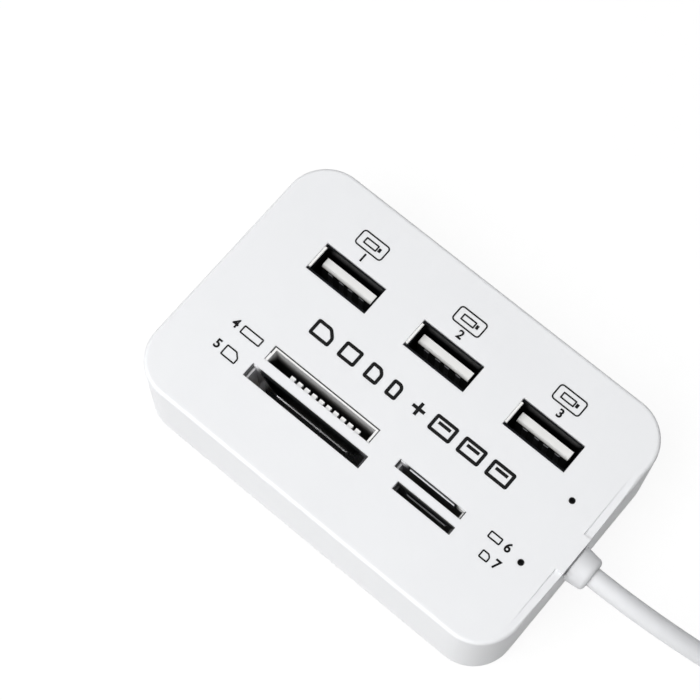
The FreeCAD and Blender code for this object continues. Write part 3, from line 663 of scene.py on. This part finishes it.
def outline(shape, x, y, wide, high, stroke, round_off, cut=0.0):
    """A closed line round a rectangle with rounded corners, one of which may be cut off."""
    face = plate(shape, x, y, wide, high)
    if cut:
        corner = max(face.verts, key=lambda v: v.co.x + v.co.y)
        face = round_corners(shape, [corner], cut * MM * math.sqrt(2), segments=1)
    face = round_corners(shape, list(face.verts), round_off * MM, segments=4)
    bmesh.ops.inset_region(shape, faces=[face], thickness=stroke, use_even_offset=True, use_boundary=True)
    bmesh.ops.delete(shape, geom=[face], context="FACES")


def numeral(shape, number, x, y, size):
    """A plain number on the top face."""
    curve = bpy.data.curves.new("numeral", "FONT")
    curve.body = str(number)
    curve.size = size * MM
    curve.offset = NUMBER_WEIGHT * size * MM
    curve.align_x = "CENTER"
    curve.align_y = "CENTER"
    holder = bpy.data.objects.new("numeral", curve)
    bpy.context.scene.collection.objects.link(holder)
    bpy.context.view_layer.update()
    flat = bpy.data.meshes.new_from_object(holder.evaluated_get(bpy.context.evaluated_depsgraph_get()))
    flat.transform(Matrix.Translation((x * MM, y * MM, TOP_FACE)))
    shape.from_mesh(flat)
    bpy.data.meshes.remove(flat)
    bpy.data.objects.remove(holder)
    bpy.data.curves.remove(curve)


class HUB_OT_dress_housing(bpy.types.Operator):
    """Finish the covers, the screws and the feet"""

    bl_idname = "hub.dress_housing"
    bl_label = "Housing"

    def execute(self, context):
        dress("white_abs_satin", "top_cover")
        dress("white_abs_coarse", "bottom_cover")
        dress("zinc_plate_cloudy", "case_screws")
        dress("grey_rubber", *FEET)
        return {"FINISHED"}


class HUB_OT_dress_ports(bpy.types.Operator):
    """Finish the shells, tongues and contacts of the ports"""

    bl_idname = "hub.dress_ports"
    bl_label = "Ports"

    def execute(self, context):
        dress("black_nickel_painted_shade", *(port + "_shell" for port in PORTS))
        dress("white_pbt_tongue_painted_shade", *(port + "_insulator" for port in PORTS))
        dress("tin_plate_matt_painted_shade", *(port + "_contacts" for port in PORTS))
        return {"FINISHED"}


class HUB_OT_make_port_lips(bpy.types.Operator):
    """Make the narrow lip that guides a plug at the left end of each port's window"""

    bl_idname = "hub.make_port_lips"
    bl_label = "Port Lips"

    def execute(self, context):
        sizes = context.scene.hub_sizes
        shape = bmesh.new()
        for port in PORTS:
            shell = port + "_shell"
            x = ends(shell)[0] - sizes.window_gap + sizes.lip_width / 2
            plate(shape, x / MM, middle(shell).y / MM, sizes.lip_width / MM, sizes.lip_length / MM)
        lift(shape, shape.verts[:], -sizes.lip_recess - sizes.lip_height)
        thicken(shape, sizes.lip_height)
        rims = edges_beyond(shape, 2, TOP_FACE - sizes.lip_recess)
        round_edges(shape, rims, sizes.lip_round, segments=2)
        place_shape("port_lips", shape, "white_pbt_chalky")
        return {"FINISHED"}


class HUB_OT_dress_card_sockets(bpy.types.Operator):
    """Finish the card sockets, their shields and contacts"""

    bl_idname = "hub.dress_card_sockets"
    bl_label = "Card Sockets"

    def execute(self, context):
        dress("white_lcp_waxy_painted_shade", "stick_socket")
        dress("gold_flash", "stick_contacts", *(card + "_contacts" for card in CARDS))
        dress("black_lcp_full", "full_card_socket")
        dress("black_lcp_mini", "mini_stick_socket")
        dress("black_lcp_dull", "micro_card_socket")
        dress("tin_plate_bright", "full_card_shield")
        dress("spring_strip", "mini_stick_shield", "micro_card_shield")
        return {"FINISHED"}


class HUB_OT_make_stick_seal(bpy.types.Operator):
    """Lay a thin black strip in the joint round the far side and the ends of the stick socket: painted
    shadow of the joint
    """

    bl_idname = "hub.make_stick_seal"
    bl_label = "Stick Socket Seal"

    def execute(self, context):
        sizes = context.scene.hub_sizes
        low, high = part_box("stick_socket")
        wide = (sizes.seal_width + sizes.seal_lap) / MM
        outward = (sizes.seal_width - sizes.seal_lap) / 2
        far = (high.y + outward) / MM
        right = (high.x + outward) / MM
        left = (low.x - outward) / MM
        middle_y = middle("stick_socket").y / MM
        shape = bmesh.new()
        plate(shape, (left + right) / 2, far, right - left + wide, wide)
        plate(shape, right, middle_y, wide, 2 * (far - middle_y) - wide)
        plate(shape, left, (middle_y + far) / 2 - wide / 4, wide, far - middle_y - wide / 2)
        lift(shape, shape.verts[:], high.z - TOP_FACE)
        thicken(shape, sizes.seal_height)
        # Painted shadow: the black strip stands for the joint's shade
        place_shape("stick_shadow_strip", shape, "black_lcp_dull")
        return {"FINISHED"}


class HUB_OT_dress_board(bpy.types.Operator):
    """Finish the circuit board and what stands on it"""

    bl_idname = "hub.dress_board"
    bl_label = "Board"

    def execute(self, context):
        dress("dark_laminate", "main_board")
        dress("charcoal_epoxy", "hub_chip", "card_chip", "port_capacitors")
        dress("drawn_can", "clock_crystal")
        dress("smoky_epoxy", *LAMPS)
        dress("ivory_nylon", "wire_header")
        dress("core_sleeves", "cable_wires")
        dress("white_vinyl_silky", "cable_inner_end")
        return {"FINISHED"}


class HUB_OT_make_lamp_sleeves(bpy.types.Operator):
    """Line the two lamp holes with thin black sleeves that keep stray light in"""

    bl_idname = "hub.make_lamp_sleeves"
    bl_label = "Lamp Sleeves"

    def execute(self, context):
        sizes = context.scene.hub_sizes
        shape = bmesh.new()
        for lamp in LAMPS:
            foot = middle(lamp)
            foot.z = ends(lamp, 2)[1]
            put = Matrix.Translation(foot)
            ring = bmesh.ops.create_circle(shape, segments=32, radius=sizes.sleeve_bore / 2, matrix=put)
            rim = list({e for v in ring["verts"] for e in v.link_edges})
            made = bmesh.ops.extrude_edge_only(shape, edges=rim)
            lift_made(shape, made, TOP_FACE - sizes.sleeve_recess - foot.z)
        bmesh.ops.recalc_face_normals(shape, faces=shape.faces[:])
        bmesh.ops.solidify(shape, geom=shape.faces[:], thickness=-sizes.sleeve_wall)
        bmesh.ops.recalc_face_normals(shape, faces=shape.faces[:])
        place_shape("lamp_sleeves", shape, "black_lcp_dull", smooth=True)
        return {"FINISHED"}


class HUB_OT_make_gland(bpy.types.Operator):
    """Make the gland with its rounded collar, its neck in the wall and its inner flange"""

    bl_idname = "hub.make_gland"
    bl_label = "Gland"

    def execute(self, context):
        sizes = context.scene.hub_sizes
        low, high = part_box("cable_gland")
        radius = sizes.gland_diameter / 2
        axis_y = middle("cable_gland").y
        axis_z = high.z - radius
        root = ends("top_cover")[1] + sizes.collar_gap
        shape = bmesh.new()

        along_x = Matrix.Rotation(math.pi / 2, 4, "Y")
        put = Matrix.Translation(((root + high.x) / 2, axis_y, axis_z)) @ along_x
        bmesh.ops.create_cone(
            shape, cap_ends=True, segments=64, radius1=radius, radius2=radius - sizes.gland_taper,
            depth=high.x - root, matrix=put,
        )
        round_edges(shape, edges_beyond(shape, 0, high.x), sizes.gland_round, segments=10)

        half_neck = sizes.neck_size / 2
        neck_top = axis_z + half_neck
        flange_end = low.x + sizes.flange_thickness
        flange_low = Vector((low.x, low.y, neck_top - sizes.flange_height))
        block(shape, flange_low, Vector((flange_end, high.y, neck_top)))
        neck_low = Vector((flange_end, axis_y - half_neck, axis_z - half_neck))
        block(shape, neck_low, Vector((root + sizes.collar_gap, axis_y + half_neck, neck_top)))

        gland = place_shape("gland", shape, "white_vinyl_silky", smooth=True)
        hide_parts("cable_gland")
        return {"FINISHED"}


class HUB_OT_make_plug_grip(bpy.types.Operator):
    """Make the plug's rounded grip with its ribs and its ringed boot"""

    bl_idname = "hub.make_plug_grip"
    bl_label = "Plug Grip"

    def execute(self, context):
        sizes = context.scene.hub_sizes
        low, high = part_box("plug_body")
        axis = middle("plug_body")
        end = high.x - sizes.boot_length
        shape = bmesh.new()

        block(shape, low, Vector((end, high.y, high.z)))
        sides = [e for e in shape.edges if run_along_x(e) > sizes.boot_length]
        round_edges(shape, sides, sizes.grip_round, segments=6)
        rims = [e for e in shape.edges if run_along_x(e) < GAP]
        round_edges(shape, rims, sizes.grip_rim, segments=4)

        half_rib = Vector((sizes.rib_width / 2, sizes.rib_length / 2, sizes.rib_height))
        for rib in range(FIRST_RIB, FIRST_RIB + GRIP_RIBS):
            place = Vector((end - rib * 2 * sizes.rib_width, axis.y, high.z))
            tops = [v for v in block(shape, place - half_rib, place + half_rib) if v.co.z > high.z]
            rims = [e for e in shape.edges if all(v in tops for v in e.verts)]
            round_edges(shape, rims, sizes.rib_height * RIB_EDGE, segments=3)

        radius = sizes.boot_diameter / 2
        line = [(-sizes.grip_rim, 0.0), (-sizes.grip_rim, radius)]
        for groove in range(BOOT_GROOVES):
            for step, depth in GROOVE_SECTION:
                share = (groove + FIRST_GROOVE + step) / (BOOT_GROOVES + 1)
                out = radius - share * sizes.boot_taper - depth * sizes.boot_groove
                line.append((share * sizes.boot_length, out))
        line += [(sizes.boot_length, radius - sizes.boot_taper), (sizes.boot_length, 0.0)]
        points = [shape.verts.new((end + ahead, axis.y + out, axis.z)) for ahead, out in line]
        edges = [shape.edges.new(pair) for pair in zip(points, points[1:])]
        bmesh.ops.spin(
            shape, geom=points + edges, axis=(1.0, 0.0, 0.0), cent=axis, angle=math.tau, steps=40,
            use_merge=True,
        )
        bmesh.ops.remove_doubles(shape, verts=shape.verts[:], dist=GAP)
        bmesh.ops.recalc_face_normals(shape, faces=shape.faces[:])

        grip = place_shape("plug_grip", shape, "white_vinyl_silky", smooth=True)
        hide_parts("plug_body")
        return {"FINISHED"}


def cable_route(sizes):
    """Control points of the cable in metres: the lead, the wound turns and the tail."""
    lead = [Vector(p) * MM for p in LEAD_POINTS]
    travel = sizes.turn_pitch * sizes.coil_turns / 2
    outer = sizes.coil_radius + travel / 2
    inner = sizes.coil_radius - travel / 2
    centre = lead[-1] + Vector((0.0, outer, 0.0))
    half = sizes.coil_turns / 2
    # A quadratic spline runs inside its points by this share
    spread = 1 / (0.75 + 0.25 * math.cos(math.tau / POINTS_PER_TURN))
    turns = []
    for step in range(1, round(sizes.coil_turns * POINTS_PER_TURN)):
        turn = step / POINTS_PER_TURN
        # The lead meets the coil at its near side, a quarter of a turn before the X direction
        bearing = math.tau * (turn - 0.25)
        radius = outer - sizes.turn_pitch * turn if turn < half else inner + sizes.turn_pitch * (turn - half)
        reach = radius * spread
        climb = min(1.0, max(0.0, (turn - half + CLIMB / 2) / CLIMB))
        rise = climb * climb * (3 - 2 * climb) * sizes.turn_pitch
        turns.append(centre + Vector((math.cos(bearing) * reach, math.sin(bearing) * reach, rise)))
    leave = centre + Vector((0.0, outer, sizes.turn_pitch))
    tail = [leave] + [leave + Vector(p) * MM for p in TAIL_OFFSETS]
    return lead + turns + tail


class HUB_OT_make_cable(bpy.types.Operator):
    """Lay the cable from the gland, through its coil, to the plug, and finish the coil's band"""

    bl_idname = "hub.make_cable"
    bl_label = "Cable"

    def execute(self, context):
        sizes = context.scene.hub_sizes
        points = cable_route(sizes)
        curve = bpy.data.curves.new("cable", "CURVE")
        curve.dimensions = "3D"
        spline = curve.splines.new("NURBS")
        spline.points.add(len(points) - 1)
        for point, place in zip(spline.points, points):
            point.co = (*place, 1.0)
        spline.order_u = 3
        spline.use_endpoint_u = True
        spline.resolution_u = 12
        curve.bevel_depth = sizes.cable_diameter / 2
        curve.bevel_resolution = 6
        curve.use_fill_caps = True
        cable = place_piece(bpy.data.objects.new("cable", curve), "white_vinyl_silky")
        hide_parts("cable_lead", "cable_coil", "cable_tail")

        dress("grey_polyethylene", "coil_tie")
        weld = NODES["coil_tie"].modifiers.new("weld", "WELD")
        weld.merge_threshold = GAP
        rounding = NODES["coil_tie"].modifiers.new("rounding", "BEVEL")
        rounding.width = sizes.tie_round
        rounding.segments = 3
        rounding.limit_method = "ANGLE"
        rounding.angle_limit = SHARP
        return {"FINISHED"}


class HUB_OT_dress_plug(bpy.types.Operator):
    """Finish the plug's shell, insert and contacts"""

    bl_idname = "hub.dress_plug"
    bl_label = "Plug"

    def execute(self, context):
        dress("nickel_plate_rolled", "plug_shell")
        dress("white_pbt_chalky", "plug_insert")
        dress("gold_flash", "plug_contacts")
        return {"FINISHED"}


def port_marks(stroke):
    """A plug in a frame and a number beside each port."""
    marks = bmesh.new()
    for number, port in enumerate(PORTS, start=1):
        x = middle(port + "_shell").x / MM + PORT_MARK_SHIFT
        outline(marks, x, PORT_MARK_Y, *FRAME_SIZE, stroke, FRAME_ROUND)
        outline(marks, x + PLUG_SHIFT, PORT_MARK_Y, *PLUG_SIZE, stroke, PLUG_ROUND)
        plate(marks, x + TIP_SHIFT, PORT_MARK_Y, *TIP_SIZE)
        numeral(marks, number, x + PORT_NUMBER_SHIFT, PORT_NUMBER_Y, PORT_NUMBER_SIZE)
    return marks


def slot_marks(stroke):
    """A card beside each slot, with a number on its outer side."""
    marks = bmesh.new()
    for number, x, y, wide, high, cut in SLOT_MARKS:
        outline(marks, x, y, wide, high, stroke, SLOT_MARK_ROUND, cut)
        side = -1 if x < 0 else 1
        numeral(marks, number, x + side * (wide / 2 + SLOT_NUMBER_GAP), y, SLOT_NUMBER_SIZE)
    return marks


def centre_marks(stroke):
    """The cards, the plus and the ports between the two rows."""
    marks = bmesh.new()
    for x, wide, cut in CARD_SHAPES:
        outline(marks, x, CENTRE_Y, wide, CENTRE_HEIGHT, stroke, CENTRE_ROUND, cut)
    bar = stroke / MM
    arm = (PLUS_SIZE - bar) / 2
    plate(marks, PLUS_X, CENTRE_Y, PLUS_SIZE, bar)
    for side in (-1, 1):
        plate(marks, PLUS_X, CENTRE_Y + side * (bar + arm) / 2, bar, arm)
    for x in PORT_SHAPES:
        outline(marks, x, CENTRE_Y, PORT_SHAPE_WIDTH, CENTRE_HEIGHT, stroke, CENTRE_ROUND)
        plate(marks, x, TONGUE_Y, *TONGUE_SIZE)
    return marks


class HUB_OT_print_marks(bpy.types.Operator):
    """Print plain pictograms and numbers beside the ports and slots"""

    bl_idname = "hub.print_marks"
    bl_label = "Printed Marks"

    def execute(self, context):
        sizes = context.scene.hub_sizes
        for name, draw, stroke in (
            ("port_marks", port_marks, sizes.fine_stroke),
            ("slot_marks", slot_marks, sizes.fine_stroke),
            ("centre_marks", centre_marks, sizes.bold_stroke),
        ):
            marks = draw(stroke)
            thicken(marks, sizes.ink_height)
            place_shape(name, marks, "pad_ink")
        return {"FINISHED"}


def seen_directly(tree):
    """One where the camera looks straight, or in a mirror or glass, and nought elsewhere."""
    path = add(tree, "ShaderNodeLightPath", {})
    first = add(
        tree, "ShaderNodeMath",
        {0: path.outputs["Is Camera Ray"], 1: path.outputs["Is Glossy Ray"]},
        operation="MAXIMUM",
    )
    both = add(
        tree, "ShaderNodeMath", {0: first.outputs[0], 1: path.outputs["Is Transmission Ray"]},
        operation="MAXIMUM",
    )
    return both.outputs[0]


def paper_floor(glow_level, fibre_mm=3.0):
    """Seamless studio paper: white to the eye, and pale grey in what it throws on the hub."""
    material, tree, place = blank_material("studio_paper")
    # Paper fibres are far finer, and are drawn this coarse so that they show in the shadow
    fibre = add(tree, "ShaderNodeTexNoise", {"Vector": place, "Scale": 1 / (fibre_mm * MM), "Detail": 2.0})
    thrown = add(tree, "ShaderNodeBsdfDiffuse", {"Color": paint(linear("#CECECE"))})
    paper = add(
        tree, "ShaderNodeMix",
        {0: fibre.outputs["Fac"], 6: paint(linear("#656565")), 7: paint(linear("#6C6C6C"))},
        data_type="RGBA",
    )
    shadowed = add(tree, "ShaderNodeBsdfDiffuse", {"Color": paper.outputs[2]})
    glow = add(tree, "ShaderNodeEmission", {"Color": paint(linear("#FFFFFF")), "Strength": glow_level})
    white = add(tree, "ShaderNodeAddShader", {0: shadowed.outputs["BSDF"], 1: glow.outputs["Emission"]})
    mixed = add(
        tree, "ShaderNodeMixShader",
        {0: seen_directly(tree), 1: thrown.outputs["BSDF"], 2: white.outputs["Shader"]},
    )
    add(tree, "ShaderNodeOutputMaterial", {"Surface": mixed.outputs["Shader"]})
    return material


def studio_room(room_level):
    """A room that is white to the eye, and throws only a little light."""
    world = bpy.data.worlds.new("studio_room")
    world.use_nodes = True
    tree = world.node_tree
    tree.nodes.clear()
    walls = paint(linear("#FFFFFF"))
    thrown = add(tree, "ShaderNodeBackground", {"Color": walls, "Strength": room_level})
    white = add(tree, "ShaderNodeBackground", {"Color": walls, "Strength": 1.0})
    mixed = add(
        tree, "ShaderNodeMixShader",
        {0: seen_directly(tree), 1: thrown.outputs["Background"], 2: white.outputs["Background"]},
    )
    add(tree, "ShaderNodeOutputWorld", {"Surface": mixed.outputs["Shader"]})
    return world


def softbox(name, place, wide, tall, watts):
    """An area light that looks at the hub."""
    lamp = bpy.data.lights.new(name, "AREA")
    lamp.energy = watts
    lamp.shape = "RECTANGLE"
    lamp.size = wide
    lamp.size_y = tall
    holder = bpy.data.objects.new(name, lamp)
    bpy.context.scene.collection.objects.link(holder)
    holder.location = place
    holder.rotation_euler = (-Vector(place)).to_track_quat("-Z", "Y").to_euler()


class HUB_OT_set_stage(bpy.types.Operator):
    """Set the floor, the lights, the room and the camera"""

    bl_idname = "hub.set_stage"
    bl_label = "Stage"

    def execute(self, context):
        scene = context.scene
        studio = scene.hub_studio
        scene.view_settings.view_transform = "Standard"

        ground = bmesh.new()
        bmesh.ops.create_grid(ground, x_segments=1, y_segments=1, size=FLOOR_HALF)
        mesh = bpy.data.meshes.new("floor")
        ground.to_mesh(mesh)
        ground.free()
        floor = bpy.data.objects.new("floor", mesh)
        scene.collection.objects.link(floor)
        mesh.materials.append(paper_floor(studio.paper_glow))

        scene.world = studio_room(studio.room)
        softbox("key", *KEY, studio.key_power)
        softbox("fill", *FILL, studio.fill_power)
        softbox("strip", *STRIP, studio.strip_power)

        camera = bpy.data.objects.new("camera", bpy.data.cameras.new("camera"))
        scene.collection.objects.link(camera)
        camera.data.sensor_width = SENSOR_WIDTH
        camera.data.lens = studio.focal_length
        camera.data.clip_start = NEAREST_VIEW
        facing = Euler((math.pi / 2 - studio.elevation, 0.0, studio.azimuth)).to_matrix().to_4x4()
        facing = facing @ Matrix.Rotation(studio.roll, 4, "Z")
        away = facing @ Vector((0.0, 0.0, studio.distance))
        camera.matrix_world = Matrix.Translation(Vector(studio.aim) + away) @ facing
        scene.camera = camera
        return {"FINISHED"}


OPERATORS = (
    HUB_OT_set_stage,
    HUB_OT_dress_housing,
    HUB_OT_dress_ports,
    HUB_OT_make_port_lips,
    HUB_OT_dress_card_sockets,
    HUB_OT_make_stick_seal,
    HUB_OT_dress_board,
    HUB_OT_make_lamp_sleeves,
    HUB_OT_make_gland,
    HUB_OT_make_plug_grip,
    HUB_OT_make_cable,
    HUB_OT_dress_plug,
    HUB_OT_print_marks,
)


class HUB_PT_finishes(bpy.types.Panel):
    """Sidebar panel with the hub's finishes"""

    bl_idname = "HUB_PT_finishes"
    bl_label = "Hub"
    bl_space_type = "VIEW_3D"
    bl_region_type = "UI"
    bl_category = "Hub"

    def draw(self, context):
        layout = self.layout
        for group in (context.scene.hub_sizes, context.scene.hub_colours, context.scene.hub_studio):
            box = layout.box()
            for name in group.__annotations__:
                box.prop(group, name)
        for operator in OPERATORS:
            layout.operator(operator.bl_idname)


CLASSES = (HubColours, HubSizes, HubStudio, *OPERATORS, HUB_PT_finishes)


def register():
    for kind in CLASSES:
        bpy.utils.register_class(kind)
    bpy.types.Scene.hub_colours = bpy.props.PointerProperty(type=HubColours)
    bpy.types.Scene.hub_sizes = bpy.props.PointerProperty(type=HubSizes)
    bpy.types.Scene.hub_studio = bpy.props.PointerProperty(type=HubStudio)


def unregister():
    del bpy.types.Scene.hub_studio
    del bpy.types.Scene.hub_sizes
    del bpy.types.Scene.hub_colours
    for kind in reversed(CLASSES):
        bpy.utils.unregister_class(kind)


def main():
    register()
    bpy.ops.hub.set_stage()
    bpy.ops.hub.dress_housing()
    bpy.ops.hub.dress_ports()
    bpy.ops.hub.make_port_lips()
    bpy.ops.hub.dress_card_sockets()
    bpy.ops.hub.make_stick_seal()
    bpy.ops.hub.dress_board()
    bpy.ops.hub.make_lamp_sleeves()
    bpy.ops.hub.make_gland()
    bpy.ops.hub.make_plug_grip()
    bpy.ops.hub.make_cable()
    bpy.ops.hub.dress_plug()
    bpy.ops.hub.print_marks()


if __name__ == "__main__":
    main()
